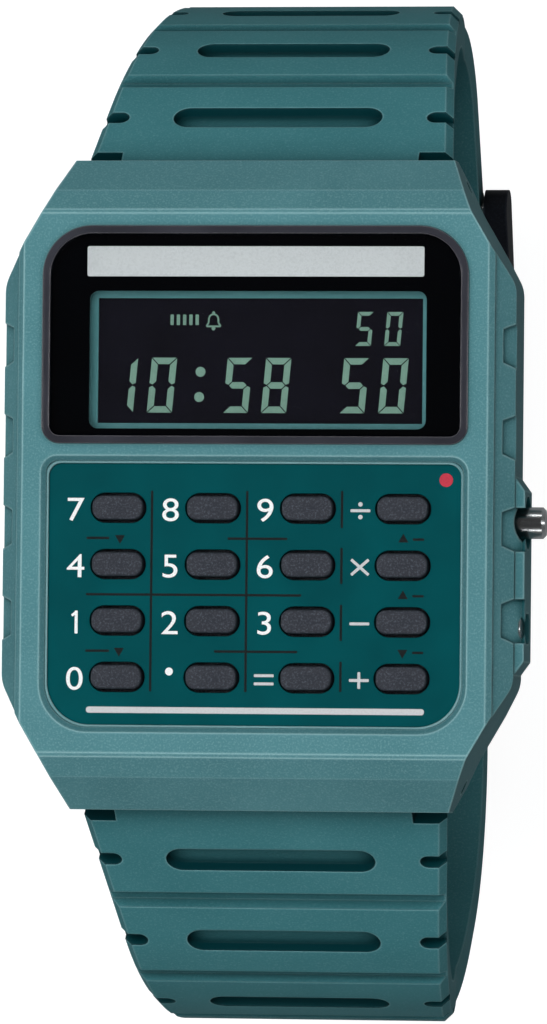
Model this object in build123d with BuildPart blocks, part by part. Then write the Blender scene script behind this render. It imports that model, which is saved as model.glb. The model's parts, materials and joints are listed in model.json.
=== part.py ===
from build123d import *
from math import atan2, cos, degrees, radians, sin
import os

# A calculator wristwatch with a moulded resin case and strap, in millimetres.
# The face looks along +Z, twelve o'clock is +Y and three o'clock is +X.
# The origin is the centre of the cover on the back, so the strap's loop hangs below.

os.makedirs("parts", exist_ok=True)

# Outline of the case
case_length = 43.2
case_width = 34.2
deck_level = 8.2
rim_level = 0.4
flank_length = case_length - 16.8
lug_root_width = case_width - 5.7
lug_root_length = case_length - 7.0
lug_tip_width = lug_root_width - 3.1
flank_corner_radius = 2.2
root_corner_radius = 4.0

# Steps of the case seen from the end and from the side
shoulder_width = case_width - 2.4
deck_width = shoulder_width - 0.8
shoulder_top = 7.45
shoulder_foot = 6.0
flank_foot = 1.6
rim_width = case_width - 2.3
deck_length = case_length - 7.2
facet_length = case_length - 4.3
facet_level = 6.95
hood_level = 4.3
deck_edge = 0.3
notch_pitch = 6.04
notch_height = 2.9
notch_reach = 1.15
notch_depth = 0.3
notch_slant = 0.35
notch_count = 4
notch_start = 9.18

# Bars, lugs and the room for the strap's ends
bar_half_span = case_length / 2 - 1.7
bar_level = 2.4
bar_radius = 0.75
bar_tip_radius = 0.4
bar_tip_length = 1.5
knuckle_radius = 1.6
knuckle_room = 0.15
strap_bore_clearance = 0.05
bar_hole_clearance = 0.05
lug_gap = lug_tip_width - 5.1
hood_underside = 3.65
lug_foot_radius = 1.65

# Window, glass and display
window_width = deck_width - 2.6
window_height = 14.4
window_margin = 1.0
window_middle = (deck_length - window_height) / 2 - window_margin
window_top_radius = 3.3
window_foot_radius = 1.2
window_rim = 0.5
window_rim_proud = 0.15
window_seat = 6.85
glass_thickness = 1.0
mask_thickness = 0.15
mask_width = window_width - 5.9
mask_height = window_height - 5.28
mask_offset = 0.05
mask_middle = window_middle - 1.62
mask_corner = 0.6
display_depth = 1.1
surround_thickness = 0.15
surround_width = mask_width + 0.9
surround_height = mask_height + 1.58
surround_bar_x = 0.85
surround_bar_y = 1.2
cell_thickness = 1.2
mask_ledge = 0.7

# Keypad
keypad_width = deck_width - 2.5
keypad_margin = 1.5
keypad_gap = 0.8
keypad_height = deck_length - window_margin - window_height - keypad_gap - keypad_margin
keypad_middle = keypad_margin - (deck_length - keypad_height) / 2
keypad_top_radius = 1.1
keypad_foot_radius = 3.2
keypad_bevel = 0.35
keypad_floor = 7.2
panel_thickness = 0.35
key_length_share = 0.121
key_width_share = 0.0935
key_pitch_shares = (0.2221, 0.2038)
key_first_shares = (-0.3193, 0.312)
key_top = 8.1
key_crown = 0.3
key_clearance = 0.15
key_flange = 0.4
key_flange_thickness = 0.4
key_flange_room = 0.05
key_travel = 0.35

# Module inside the case
pocket_width = case_width - 7.4
pocket_length = case_length - 13.2
pocket_radius = 1.8
pocket_level = 6.4
module_width = pocket_width - 3.6
module_length = pocket_length - 1.0
frame_level = 1.05
board_level = 3.2
board_thickness = 0.6
sheet_thickness = 0.5
sheet_height = keypad_height - 2.1
sheet_middle = keypad_middle + 0.75
dome_radius = 1.2
dome_top_radius = 0.8
dome_clearance = 0.05
battery_radius = 10.0
battery_thickness = 1.6
battery_middle = -3.6
battery_room = 0.2
battery_level = 1.5
clip_thickness = 0.2
clip_width = 7.0
clip_length = 22.0
buzzer_radius = 3.6
buzzer_thickness = 0.2
buzzer_middle = 10.8
buzzer_room = 0.2
spring_width = 1.2
spring_thickness = 0.2
chip_length = 6.0
chip_width = 5.0
chip_thickness = 0.45
chip_corner = 0.6
quartz_radius = 0.75
quartz_length = 5.0
quartz_x = 8.9
quartz_y = 10.8
strip_width = 1.2
strip_length = 20.0
strip_inset = 0.2

# Back cover
cover_thickness = 1.0
cover_width = rim_width - 1.5
cover_length = case_length - 8.0
cover_flank = flank_length - 1.4
cover_tip_width = cover_width - 4.8
cover_edge = 0.25
cover_clearance = 0.1
gasket_gap = 0.15
gasket_width = 0.6
gasket_height = 0.5
gasket_room = 0.05
screw_x = cover_tip_width / 2 - 1.1
screw_y = cover_length / 2 - 1.1
screw_head_radius = 0.95
screw_head_height = 0.5
screw_radius = 0.5
screw_length = 3.0
screw_clearance = 0.1
slot_width = 0.3
slot_depth = 0.2

# Guard and push buttons on the right flank
guard_reach = case_width / 2 + 0.65
guard_high = 0.56
guard_low = -12.5
guard_slant = 0.9
guard_top = 5.75
guard_foot = 1.9
pusher_y = -2.4
pusher_z = 3.85
pusher_radius = 1.05
pusher_tip = guard_reach + 1.2
pusher_travel = 0.6
pusher_edge = 0.2
pusher_clearance = 0.12
scoop_radius = 1.75
scoop_depth = 0.75
cap_root = case_width / 2 - 0.5
cap_room = 0.1
stem_radius = 0.5
stem_clearance = 0.06
stem_end = pocket_width / 2 - 0.65
clip_x = stem_end + 0.2
stem_clip_thickness = 0.25
stem_clip_radius = 1.1
stem_groove_radius = 0.35
stem_clip_room = 0.03
seal_x = cap_root - 2.0
seal_width = 0.7
seal_radius = 0.95
seal_clearance = 0.02
adjust_y = -9.4
adjust_radius = 0.85
adjust_face = case_width / 2 + 0.25
adjust_travel = 0.4
adjust_root = cap_root - 0.1
adjust_slot_width = 2.0
adjust_slot_height = 2.9
adjust_slot_floor = adjust_face - 0.05
adjust_edge = 0.12

# Strap
strap_shoulder_width = lug_tip_width - 0.8
strap_end_width = 18.0
strap_tongue_width = lug_gap - 0.3
strap_thickness = 2.8
shoulder_gap = 2.1
taper_top = 2.0
taper_middle = -8.5
taper_foot = -30.0
taper_share = 0.39
strap_heading = -50.0
strap_edge = 0.55
upper_bend_radius = 33.0
upper_turn = -50.0
pin_bend_radius = 9.0
pin_turn = -50.0
pin_y = 21.2
pin_z = -41.0
lower_straight = 14.0
lower_bend_radius = 24.2
lower_turn = -75.0
bottom_bend_radius = 15.0
rise_radius = 20.0
rise_slope = 14.0
tail_slope = 4.0
tail_thickness = 2.2
tail_length = 16.9
tail_corner = 5.0
tail_lead = 15.5
slot_first = 6.1
strap_pitch = 4.25
slot_breadth = 2.2
slot_length_share = 0.6
slot_pocket = 0.7
groove_width = 1.6
groove_depth = 0.45
dimple_reach = 1.7
dimple_radius = 0.6
dimple_depth = 0.9
ridge_count = 4
hole_length = 3.0
hole_width = 2.3
hole_pitch = 5.5
hole_count = 3
edge_touch = 0.02

# Buckle
pin_radius = 0.6
pin_knuckle_radius = 1.4
pin_clearance = 0.05
tail_clearance = 0.25
buckle_width = 21.8
buckle_side_clearance = 0.25
buckle_reach = 12.0
buckle_arm_radius = 1.55
buckle_bar_radius = 0.75
buckle_bar_gap = 0.18
tongue_width = 1.9
tongue_thickness = 0.8
tongue_slot_width = 2.6
tongue_eye_radius = 1.15
tongue_over = 1.1
tongue_drop = 2.6
tongue_slot_reach = 2.4
tongue_bend = 0.9
tongue_notch_room = 0.2
tongue_sink = 0.15

overrun = 1.0

# Levels and places worked out from the sizes above
case_half = case_length / 2
glass_level = window_seat + mask_thickness
display_level = window_seat - display_depth
cell_level = display_level - surround_thickness
board_top = board_level + board_thickness
sheet_top = board_top + sheet_thickness
flange_top = pocket_level - key_flange_room
flange_foot = flange_top - key_flange_thickness
key_length = keypad_width * key_length_share
key_width = keypad_height * key_width_share
rail_x = [keypad_width * (key_first_shares[0] + i * key_pitch_shares[0]) for i in range(4)]
row_y = [
    keypad_middle + keypad_height * (key_first_shares[1] - i * key_pitch_shares[1])
    for i in range(4)
]
key_names = [
    ["key_7", "key_8", "key_9", "key_divide"],
    ["key_4", "key_5", "key_6", "key_times"],
    ["key_1", "key_2", "key_3", "key_minus"],
    ["key_0", "key_point", "key_equals", "key_plus"],
]
key_places = [(x, y) for y in row_y for x in rail_x]


def save(part, name):
    """Label a finished solid and write it to a file of its own."""
    part.label = name
    export_step(part, f"parts/{name}.step")


def four_way(quarter):
    """Close an outline from the points of its upper right quarter."""
    right = quarter + [(x, -y) for x, y in reversed(quarter)]
    return right + [(-x, y) for x, y in reversed(right)]


def outline(points):
    """Fill a closed outline of straight sides in the sketch in hand."""
    Polygon(*points, align=None)


def window_sketch(sketch, width, height, top_radius, foot_radius):
    """Draw a rectangle whose upper corners and lower corners have radii of their own."""
    Rectangle(width, height)
    fillet(sketch.vertices().group_by(Axis.Y)[-1], top_radius)
    fillet(sketch.vertices().group_by(Axis.Y)[0], foot_radius)


case_plan = four_way([
    (lug_tip_width / 2, case_half),
    (lug_root_width / 2, lug_root_length / 2),
    (case_width / 2, flank_length / 2),
])
case_section = [
    (-rim_width / 2, rim_level),
    (-case_width / 2, flank_foot),
    (-case_width / 2, shoulder_foot),
    (-shoulder_width / 2, shoulder_top),
    (-shoulder_width / 2, deck_level - (shoulder_width - deck_width) / 2),
    (-deck_width / 2, deck_level),
]
case_section = case_section + [(-x, z) for x, z in reversed(case_section)]
lug_foot_y = bar_half_span - lug_foot_radius
case_side = [
    (lug_foot_y, rim_level),
    (bar_half_span, bar_level - lug_foot_radius),
    (case_half, bar_level),
    (case_half, hood_level),
    (facet_length / 2, facet_level),
    (deck_length / 2, deck_level),
]
case_side = case_side + [(-y, z) for y, z in reversed(case_side)]
cover_plan = four_way([
    (cover_tip_width / 2, cover_length / 2),
    (cover_width / 2, cover_flank / 2),
])
guard_plan = [
    (case_width / 2 - overrun, guard_high),
    (case_width / 2, guard_high),
    (guard_reach, guard_high - guard_slant),
    (guard_reach, guard_low + guard_slant),
    (case_width / 2, guard_low),
    (case_width / 2 - overrun, guard_low),
]
shoulder_fall = degrees(atan2(shoulder_top - shoulder_foot, (case_width - shoulder_width) / 2))

# Case: one moulding with hoods over the strap's ends, a pocket for the module,
# a seat for the glass, a sunk keypad and holes for the keys and the two side buttons
with BuildPart() as case_body:
    with BuildSketch(Plane.XY.offset(rim_level)) as plan:
        outline(case_plan)
        corners = plan.vertices().group_by(Axis.Y)
        fillet(corners[1] + corners[-2], root_corner_radius)
        corners = plan.vertices().group_by(Axis.X)
        fillet(corners[0] + corners[-1], flank_corner_radius)
    extrude(amount=deck_level - rim_level)
    with BuildSketch(Plane.XZ):
        outline(case_section)
    extrude(amount=case_length, both=True, mode=Mode.INTERSECT)
    with BuildSketch(Plane.YZ):
        outline(case_side)
    extrude(amount=case_width, both=True, mode=Mode.INTERSECT)
    chamfer(case_body.faces().sort_by(Axis.Z)[-1].edges().group_by(Axis.Y)[0], deck_edge / 2)
    chamfer(case_body.faces().sort_by(Axis.Z)[-1].edges().group_by(Axis.Y)[-1], deck_edge / 2)
    # Guard round the side buttons
    with BuildSketch(Plane.XY.offset(guard_foot)):
        outline(guard_plan)
    extrude(amount=guard_top - guard_foot)
    # Shallow steps in the outer edge of both shoulders
    for side in (1, -1):
        for step in range(notch_count):
            middle = Vector(
                side * case_width / 2, notch_start - step * notch_pitch, shoulder_foot
            )
            slope = Plane(
                middle,
                x_dir=(0, 1, 0),
                z_dir=(side * sin(radians(shoulder_fall)), 0, cos(radians(shoulder_fall))),
            )
            with BuildSketch(slope.offset(-notch_depth)):
                inward = slope.to_local_coords(middle - Vector(side * notch_reach, 0, 0)).Y
                away = -inward / abs(inward)
                outline([
                    (notch_height / 2, away * overrun),
                    (-notch_height / 2, away * overrun),
                    (-notch_height / 2, 0),
                    (-notch_height / 2 + notch_slant, -away * notch_reach),
                    (notch_height / 2 - notch_slant, -away * notch_reach),
                    (notch_height / 2, 0),
                ])
            extrude(amount=overrun, mode=Mode.SUBTRACT)
    # Room between the lugs for the strap's round ends
    for end in (1, -1):
        bar = Plane((0, end * bar_half_span, bar_level), x_dir=(0, end, 0), z_dir=(1, 0, 0))
        with BuildSketch(bar):
            Circle(knuckle_radius + knuckle_room)
            reach = case_half - bar_half_span + overrun
            with Locations((reach / 2, 0)):
                Rectangle(reach, 2 * (hood_underside - bar_level))
            drop = bar_level + overrun
            back = knuckle_radius + knuckle_room
            with Locations(((reach - back) / 2, end * -drop / 2)):
                Rectangle(reach + back, drop)
        extrude(amount=lug_gap / 2, both=True, mode=Mode.SUBTRACT)
        with BuildSketch(bar):
            Circle(bar_tip_radius + bar_hole_clearance)
        extrude(amount=case_width, both=True, mode=Mode.SUBTRACT)
    # Pocket for the module, with a seat for the cover round it
    with BuildSketch(Plane.XY.offset(-overrun)):
        RectangleRounded(pocket_width, pocket_length, pocket_radius)
    extrude(amount=pocket_level + overrun, mode=Mode.SUBTRACT)
    with BuildSketch(Plane.XY.offset(-overrun)):
        outline(cover_plan)
        offset(amount=cover_clearance, kind=Kind.INTERSECTION)
    extrude(amount=cover_thickness + overrun, mode=Mode.SUBTRACT)
    with BuildSketch(Plane.XY.offset(cover_thickness)):
        gasket_outer = gasket_gap + gasket_width + gasket_room
        RectangleRounded(
            pocket_width + 2 * gasket_outer,
            pocket_length + 2 * gasket_outer,
            pocket_radius + gasket_outer,
        )
    extrude(amount=gasket_height + gasket_room, mode=Mode.SUBTRACT)
    # Seat for the glass and the opening over the display
    with BuildSketch(Plane((0, window_middle, window_seat))) as seat:
        window_sketch(seat, window_width, window_height, window_top_radius, window_foot_radius)
    extrude(amount=deck_level - window_seat + overrun, mode=Mode.SUBTRACT)
    with BuildSketch(Plane((mask_offset, mask_middle, pocket_level - overrun))):
        Rectangle(mask_width + mask_ledge, mask_height + mask_ledge)
    extrude(amount=window_seat - pocket_level + 2 * overrun, mode=Mode.SUBTRACT)
    # Sunk keypad with a bevelled mouth
    with BuildSketch(Plane((0, keypad_middle, keypad_floor))) as sunk:
        window_sketch(sunk, keypad_width, keypad_height, keypad_top_radius, keypad_foot_radius)
        offset(amount=-keypad_bevel)
    extrude(amount=deck_level - keypad_floor + overrun, mode=Mode.SUBTRACT)
    mouth = case_body.edges().filter_by_position(Axis.Z, deck_level, deck_level)
    mouth = mouth.filter_by_position(Axis.X, -keypad_width / 2, keypad_width / 2)
    keypad_ends = [keypad_middle - keypad_height / 2, keypad_middle + keypad_height / 2]
    mouth = mouth.filter_by_position(Axis.Y, *keypad_ends)
    chamfer(mouth, keypad_bevel)
    with BuildSketch(Plane.XY.offset(keypad_floor)):
        with Locations(*key_places):
            SlotOverall(key_length + 2 * key_clearance, key_width + 2 * key_clearance)
    extrude(amount=-(keypad_floor - pocket_level + overrun), mode=Mode.SUBTRACT)
    # Holes for the round pusher and for the small button below it
    side_hole = Plane((0, pusher_y, pusher_z), x_dir=(0, 1, 0), z_dir=(1, 0, 0))
    with BuildSketch(side_hole.offset(case_width / 2 - scoop_depth)):
        Circle(scoop_radius)
    extrude(amount=case_width, mode=Mode.SUBTRACT)
    with BuildSketch(side_hole.offset(cap_root - pusher_travel - cap_room)):
        Circle(pusher_radius + pusher_clearance)
    extrude(amount=case_width, mode=Mode.SUBTRACT)
    adjust_hole = Plane((0, adjust_y, pusher_z), x_dir=(0, 1, 0), z_dir=(1, 0, 0))
    with BuildSketch(adjust_hole.offset(adjust_root - adjust_travel - cap_room)):
        Circle(adjust_radius + pusher_clearance)
    extrude(amount=case_width, mode=Mode.SUBTRACT)
    with BuildSketch(adjust_hole.offset(adjust_slot_floor)):
        SlotOverall(adjust_slot_height, adjust_slot_width, rotation=90)
    extrude(amount=case_width, mode=Mode.SUBTRACT)
    for hole in (side_hole, adjust_hole):
        with BuildSketch(hole):
            Circle(stem_radius + stem_clearance)
        extrude(amount=case_width / 2, mode=Mode.SUBTRACT)
        with BuildSketch(hole.offset(seal_x - stem_clip_room)):
            Circle(seal_radius)
        extrude(amount=seal_width + 2 * stem_clip_room, mode=Mode.SUBTRACT)
    # Blind holes for the cover's screws
    with BuildSketch(Plane.XY.offset(cover_thickness - overrun)):
        with GridLocations(2 * screw_x, 2 * screw_y, 2, 2):
            Circle(screw_radius)
    extrude(amount=screw_length + overrun, mode=Mode.SUBTRACT)
save(case_body.part, "case_body")

# Dark rim round the glass, standing a little above the deck
with BuildPart() as window_ring:
    with BuildSketch(Plane((0, window_middle, window_seat))) as ring:
        window_sketch(ring, window_width, window_height, window_top_radius, window_foot_radius)
        offset(amount=-window_rim, mode=Mode.SUBTRACT)
    extrude(amount=deck_level + window_rim_proud - window_seat)
save(window_ring.part, "window_ring")

# Flat mineral glass inside the rim
with BuildPart() as window_glass:
    with BuildSketch(Plane((0, window_middle, glass_level))) as pane:
        window_sketch(pane, window_width, window_height, window_top_radius, window_foot_radius)
        offset(amount=-window_rim)
    extrude(amount=glass_thickness)
    chamfer(window_glass.faces().sort_by(Axis.Z)[-1].edges(), mask_thickness)
save(window_glass.part, "window_glass")

# Black mask under the glass, open over the display
with BuildPart() as display_mask:
    with BuildSketch(Plane((0, window_middle, window_seat))) as mask:
        window_sketch(mask, window_width, window_height, window_top_radius, window_foot_radius)
        offset(amount=-window_rim)
        with Locations((mask_offset, mask_middle - window_middle)):
            RectangleRounded(mask_width, mask_height, mask_corner, mode=Mode.SUBTRACT)
    extrude(amount=mask_thickness)
save(display_mask.part, "display_mask")

# Coloured frame that lies on the display
with BuildPart() as display_surround:
    with BuildSketch(Plane((mask_offset, mask_middle, cell_level))):
        Rectangle(surround_width, surround_height)
        opening_width = surround_width - 2 * surround_bar_x
        opening_height = surround_height - 2 * surround_bar_y
        Rectangle(opening_width, opening_height, mode=Mode.SUBTRACT)
    extrude(amount=surround_thickness)
save(display_surround.part, "display_surround")

# Liquid crystal cell: two glass plates, the upper one shorter than the lower
with BuildPart() as display_cell:
    with BuildSketch(Plane((mask_offset, mask_middle, cell_level - cell_thickness))):
        Rectangle(surround_width, surround_height)
    extrude(amount=cell_thickness / 2)
    with BuildSketch(Plane((mask_offset, mask_middle, cell_level - cell_thickness / 2))):
        Rectangle(surround_width, surround_height - strip_width)
    extrude(amount=cell_thickness / 2)
save(display_cell.part, "display_cell")

# Two elastic contact strips between the circuit board and the display
with BuildPart() as contact_strips:
    with BuildSketch(Plane((mask_offset, mask_middle, board_top))):
        with GridLocations(surround_width, surround_height - strip_width - 2 * strip_inset, 1, 2):
            Rectangle(strip_length, strip_width)
    extrude(amount=cell_level - cell_thickness - board_top)
save(contact_strips.part, "contact_strips")

# Printed panel round the keys
with BuildPart() as keypad_panel:
    with BuildSketch(Plane((0, keypad_middle, keypad_floor))) as panel:
        window_sketch(panel, keypad_width, keypad_height, keypad_top_radius, keypad_foot_radius)
        offset(amount=-keypad_bevel)
    extrude(amount=panel_thickness)
    with BuildSketch(Plane.XY.offset(keypad_floor)):
        with Locations(*key_places):
            SlotOverall(key_length + 2 * key_clearance, key_width + 2 * key_clearance)
    extrude(amount=panel_thickness, mode=Mode.SUBTRACT)
save(keypad_panel.part, "keypad_panel")

# Sixteen keys, each with a flange that keeps it in the case
for names, y in zip(key_names, row_y):
    for name, x in zip(names, rail_x):
        with BuildPart() as key:
            with BuildSketch(Plane((x, y, flange_foot))):
                Rectangle(key_length + 2 * key_flange, key_width + 2 * key_flange)
            extrude(amount=key_flange_thickness)
            with BuildSketch(Plane((x, y, flange_top))):
                SlotOverall(key_length, key_width)
            extrude(amount=key_top - flange_top)
            chamfer(key.faces().sort_by(Axis.Z)[-1].edges(), key_crown)
        save(key.part, name)

# Rubber sheet with a dome under each key
with BuildPart() as key_sheet:
    with BuildSketch(Plane((0, sheet_middle, board_top))):
        Rectangle(module_width, sheet_height)
    extrude(amount=sheet_thickness)
    dome_height = flange_foot - key_travel - dome_clearance - sheet_top
    with BuildSketch(Plane.XY.offset(sheet_top)):
        with Locations(*key_places):
            Circle(dome_radius)
    extrude(amount=dome_height, taper=degrees(atan2(dome_radius - dome_top_radius, dome_height)))
save(key_sheet.part, "key_sheet")

# Circuit board
with BuildPart() as circuit_board:
    with BuildSketch(Plane.XY.offset(board_level)):
        RectangleRounded(module_width, module_length, pocket_radius)
    extrude(amount=board_thickness)
save(circuit_board.part, "circuit_board")

# Sealed chip on the board, under the display
with BuildPart() as control_chip:
    with BuildSketch(Plane((mask_offset, mask_middle, board_top))):
        RectangleRounded(chip_length, chip_width, chip_corner)
    extrude(amount=chip_thickness)
save(control_chip.part, "control_chip")

# Quartz crystal in its can, under the board
with BuildPart() as quartz_can:
    can_middle = (quartz_x, quartz_y, board_level - quartz_radius)
    with BuildSketch(Plane(can_middle, x_dir=(1, 0, 0), z_dir=(0, 1, 0))):
        Circle(quartz_radius)
    extrude(amount=quartz_length / 2, both=True)
save(quartz_can.part, "quartz_can")

# Moulded frame that holds the battery, the board and the buzzer's contact
with BuildPart() as module_frame:
    with BuildSketch(Plane.XY.offset(frame_level)):
        RectangleRounded(module_width, module_length, pocket_radius)
        with Locations((0, battery_middle)):
            Circle(battery_radius + battery_room, mode=Mode.SUBTRACT)
        with Locations((0, buzzer_middle)):
            Circle(buzzer_radius + buzzer_room, mode=Mode.SUBTRACT)
        with Locations((quartz_x, quartz_y)):
            quartz_room = quartz_radius + battery_room
            Rectangle(2 * quartz_room, quartz_length + 2 * battery_room, mode=Mode.SUBTRACT)
    extrude(amount=board_level - frame_level)
    with BuildSketch(Plane((0, battery_middle, frame_level))):
        Rectangle(clip_length + battery_room, clip_width + battery_room)
    extrude(amount=battery_level - frame_level, mode=Mode.SUBTRACT)
save(module_frame.part, "module_frame")

# Coin battery with its smaller cap towards the board
with BuildPart() as battery:
    with BuildSketch(Plane((0, battery_middle, battery_level))):
        Circle(battery_radius)
    extrude(amount=battery_thickness)
    chamfer(battery.edges().group_by(Axis.Z)[0], battery_room)
    chamfer(battery.edges().group_by(Axis.Z)[-1], 2 * battery_room)
save(battery.part, "battery")

# Sprung steel strap over the battery
with BuildPart() as battery_clip:
    with BuildSketch(Plane((0, battery_middle, battery_level - clip_thickness))):
        Rectangle(clip_length, clip_width)
        with GridLocations(clip_length / 2, clip_width, 2, 1):
            SlotOverall(clip_width / 2, clip_width / 2 - 2 * battery_room, mode=Mode.SUBTRACT)
    extrude(amount=clip_thickness)
save(battery_clip.part, "battery_clip")

# Buzzer disc on the inside of the cover and its leaf contact
with BuildPart() as buzzer_disc:
    with BuildSketch(Plane((0, buzzer_middle, cover_thickness))):
        Circle(buzzer_radius)
    extrude(amount=buzzer_thickness)
save(buzzer_disc.part, "buzzer_disc")

with BuildPart() as buzzer_contact:
    disc_top = cover_thickness + buzzer_thickness
    leaf_reach = buzzer_radius - buzzer_room - spring_width
    with BuildSketch(Plane((0, buzzer_middle, 0), x_dir=(1, 0, 0), z_dir=(0, -1, 0))):
        outline([
            (-leaf_reach, board_level),
            (-spring_width / 2, board_level),
            (leaf_reach, disc_top + spring_thickness),
            (leaf_reach + spring_width / 2, disc_top + spring_thickness),
            (leaf_reach + spring_width / 2, disc_top),
            (leaf_reach - spring_thickness, disc_top),
            (-spring_width / 2 - spring_thickness, board_level - spring_thickness),
            (-leaf_reach, board_level - spring_thickness),
        ])
    extrude(amount=spring_width / 2, both=True)
save(buzzer_contact.part, "buzzer_contact")

# Steel cover on the back, with its gasket and four screws
with BuildPart() as rear_cover:
    with BuildSketch():
        outline(cover_plan)
    extrude(amount=cover_thickness)
    chamfer(rear_cover.faces().sort_by(Axis.Z)[0].edges(), cover_edge)
    with BuildSketch():
        with GridLocations(2 * screw_x, 2 * screw_y, 2, 2):
            Circle(screw_head_radius + screw_clearance)
    extrude(amount=screw_head_height + screw_clearance, mode=Mode.SUBTRACT)
    with BuildSketch():
        with GridLocations(2 * screw_x, 2 * screw_y, 2, 2):
            Circle(screw_radius + screw_clearance)
    extrude(amount=cover_thickness, mode=Mode.SUBTRACT)
save(rear_cover.part, "rear_cover")

with BuildPart() as cover_gasket:
    with BuildSketch(Plane.XY.offset(cover_thickness)):
        for grow, mode in ((gasket_gap + gasket_width, Mode.ADD), (gasket_gap, Mode.SUBTRACT)):
            RectangleRounded(
                pocket_width + 2 * grow, pocket_length + 2 * grow, pocket_radius + grow, mode=mode
            )
    extrude(amount=gasket_height)
save(cover_gasket.part, "cover_gasket")

with BuildPart() as cover_screws:
    with BuildSketch(Plane.XY.offset(screw_clearance)):
        with GridLocations(2 * screw_x, 2 * screw_y, 2, 2):
            Circle(screw_head_radius)
    extrude(amount=screw_head_height)
    with BuildSketch(Plane.XY.offset(screw_clearance + screw_head_height)):
        with GridLocations(2 * screw_x, 2 * screw_y, 2, 2):
            Circle(screw_radius)
    extrude(amount=screw_length)
    with BuildSketch(Plane.XY.offset(screw_clearance)):
        with GridLocations(2 * screw_x, 2 * screw_y, 2, 2):
            Rectangle(screw_head_radius, slot_width)
            Rectangle(slot_width, screw_head_radius)
    extrude(amount=slot_depth, mode=Mode.SUBTRACT)
save(cover_screws.part, "cover_screws")

# Sprung bars that hold the two straps between the lugs
for end, name in ((1, "upper_spring_bar"), (-1, "lower_spring_bar")):
    with BuildPart() as spring_bar:
        across = Plane((0, end * bar_half_span, bar_level), x_dir=(0, 1, 0), z_dir=(1, 0, 0))
        with BuildSketch(across):
            Circle(bar_radius)
        extrude(amount=lug_gap / 2 - bar_hole_clearance, both=True)
        with BuildSketch(across):
            Circle(bar_tip_radius)
        extrude(amount=lug_gap / 2 + bar_tip_length, both=True)
    save(spring_bar.part, name)


def side_button(hole, cap_radius, face, root, edge):
    """Turn a push button: a round cap, a thin stem and a groove for its clip."""
    with BuildPart() as button:
        with BuildSketch(hole.offset(root)):
            Circle(cap_radius)
        extrude(amount=face - root)
        chamfer(button.faces().sort_by(Axis.X)[-1].edges(), edge)
        with BuildSketch(hole.offset(stem_end)):
            Circle(stem_radius)
        extrude(amount=root - stem_end)
        with BuildSketch(hole.offset(clip_x - stem_clip_room)):
            Circle(stem_radius)
            Circle(stem_groove_radius, mode=Mode.SUBTRACT)
        extrude(amount=stem_clip_thickness + 2 * stem_clip_room, mode=Mode.SUBTRACT)
    return button.part


def stem_clip(hole):
    """Stamp the open clip that keeps a button's stem in the case."""
    with BuildPart() as clip:
        with BuildSketch(hole.offset(clip_x)):
            Circle(stem_clip_radius)
            Circle(stem_groove_radius + stem_clip_room, mode=Mode.SUBTRACT)
            with Locations((0, -stem_clip_radius / 2)):
                Rectangle(2 * stem_groove_radius, stem_clip_radius, mode=Mode.SUBTRACT)
        extrude(amount=stem_clip_thickness)
    return clip.part


def stem_seal(hole):
    """Mould the ring that seals a button's stem in the wall of the case."""
    with BuildPart() as seal:
        with BuildSketch(hole.offset(seal_x)):
            Circle(seal_radius - seal_clearance)
            Circle(stem_radius + seal_clearance, mode=Mode.SUBTRACT)
        extrude(amount=seal_width)
    return seal.part


# Round pusher on the right flank and the small button below it
save(side_button(side_hole, pusher_radius, pusher_tip, cap_root, pusher_edge), "mode_pusher")
save(stem_clip(side_hole), "pusher_clip")
save(stem_seal(side_hole), "pusher_seal")
save(side_button(adjust_hole, adjust_radius, adjust_face, adjust_root, adjust_edge), "adjust_button")
save(stem_clip(adjust_hole), "adjust_clip")
save(stem_seal(adjust_hole), "adjust_seal")


def run_end(at, heading, runs):
    """Follow straight runs and bends from a point; return where they end and their heading."""
    for radius, amount in runs:
        way = Vector(cos(radians(heading)), sin(radians(heading)))
        if radius == 0:
            at = at + way * amount
        else:
            to_centre = Vector(-way.Y, way.X) * (radius if amount > 0 else -radius)
            heading += amount
            at = at + to_centre - to_centre.rotate(Axis.Z, amount)
    return at, heading


def band_side(at, heading, runs, aside):
    """Draw one side of a band that follows a middle line, at a distance to its left."""
    at = at + Vector(cos(radians(heading + 90)), sin(radians(heading + 90))) * aside
    for radius, amount in runs:
        way = Vector(cos(radians(heading)), sin(radians(heading)))
        if radius == 0:
            side = Line(at, at + way * amount)
        else:
            side = JernArc(at, way, radius - aside if amount > 0 else radius + aside, amount)
            heading += amount
        at = side @ 1
    return at


def band_outline(start, heading, runs, thickness):
    """Draw the closed outline of a band of even thickness."""
    outer_end = band_side(start, heading, runs, thickness / 2)
    inner_end = band_side(start, heading, runs, -thickness / 2)
    Line(outer_end, inner_end)
    edge = Vector(cos(radians(heading + 90)), sin(radians(heading + 90))) * (thickness / 2)
    Line(start + edge, start - edge)


# The strap's middle lines are drawn seen from the side, outwards from each bar.
# The upper half ends at the buckle's pin, the lower half passes under the case,
# lies flat at the bottom and rises through the buckle.
bar_point = Vector(bar_half_span, bar_level)
pin_point = Vector(pin_y, pin_z)
upper_bends = [(upper_bend_radius, upper_turn), (pin_bend_radius, pin_turn)]
bend_end, pin_heading = run_end(Vector(0, 0), strap_heading, upper_bends)
first_way = Vector(cos(radians(strap_heading)), sin(radians(strap_heading)))
last_way = Vector(cos(radians(pin_heading)), sin(radians(pin_heading)))
gap_left = pin_point - bar_point - bend_end
spread = first_way.X * last_way.Y - first_way.Y * last_way.X
upper_first = (gap_left.X * last_way.Y - gap_left.Y * last_way.X) / spread
upper_last = (first_way.X * gap_left.Y - first_way.Y * gap_left.X) / spread
upper_runs = [(0, upper_first)] + upper_bends + [(0, upper_last)]

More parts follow.
